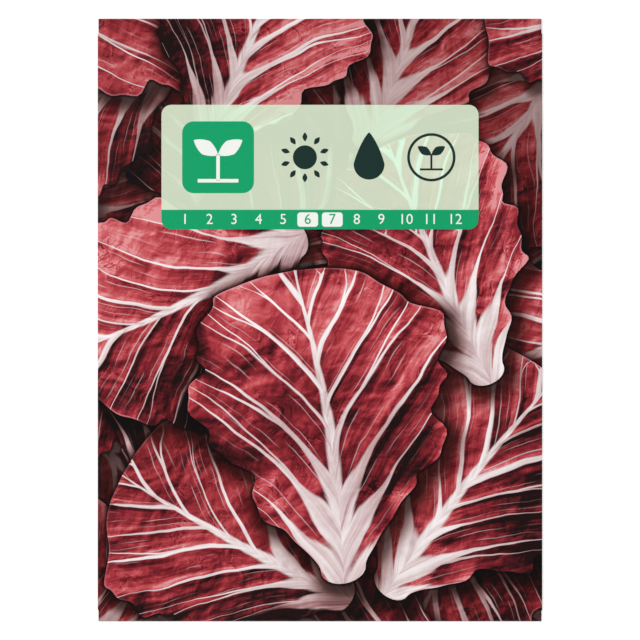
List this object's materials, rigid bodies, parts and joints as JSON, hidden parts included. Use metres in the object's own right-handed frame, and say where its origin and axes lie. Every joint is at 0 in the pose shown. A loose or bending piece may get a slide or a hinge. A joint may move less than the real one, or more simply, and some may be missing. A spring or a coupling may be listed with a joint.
{
  "type": "seed packet",
  "caption": "Flat paper seed packet with leafy print, glued back seam and folded end flaps, holding a foil sachet of seeds.",
  "frame": {"origin": "middle of the packet's footprint, on the surface that its back lies on", "axes": "+X to the right across the printed front, +Y towards the top edge of the print, +Z out of the printed front"},
  "size_m": [0.118, 0.16, 0.0032],
  "materials": {
    "printed_paper": "satin",
    "foil": "satin",
    "seed": "matte"
  },
  "bodies": {
    "root": {"paper_packet": "printed_paper", "sachet_back_web": "foil", "sachet_front_web": "foil", "seeds": "seed"}
  },
  "joints": []
}
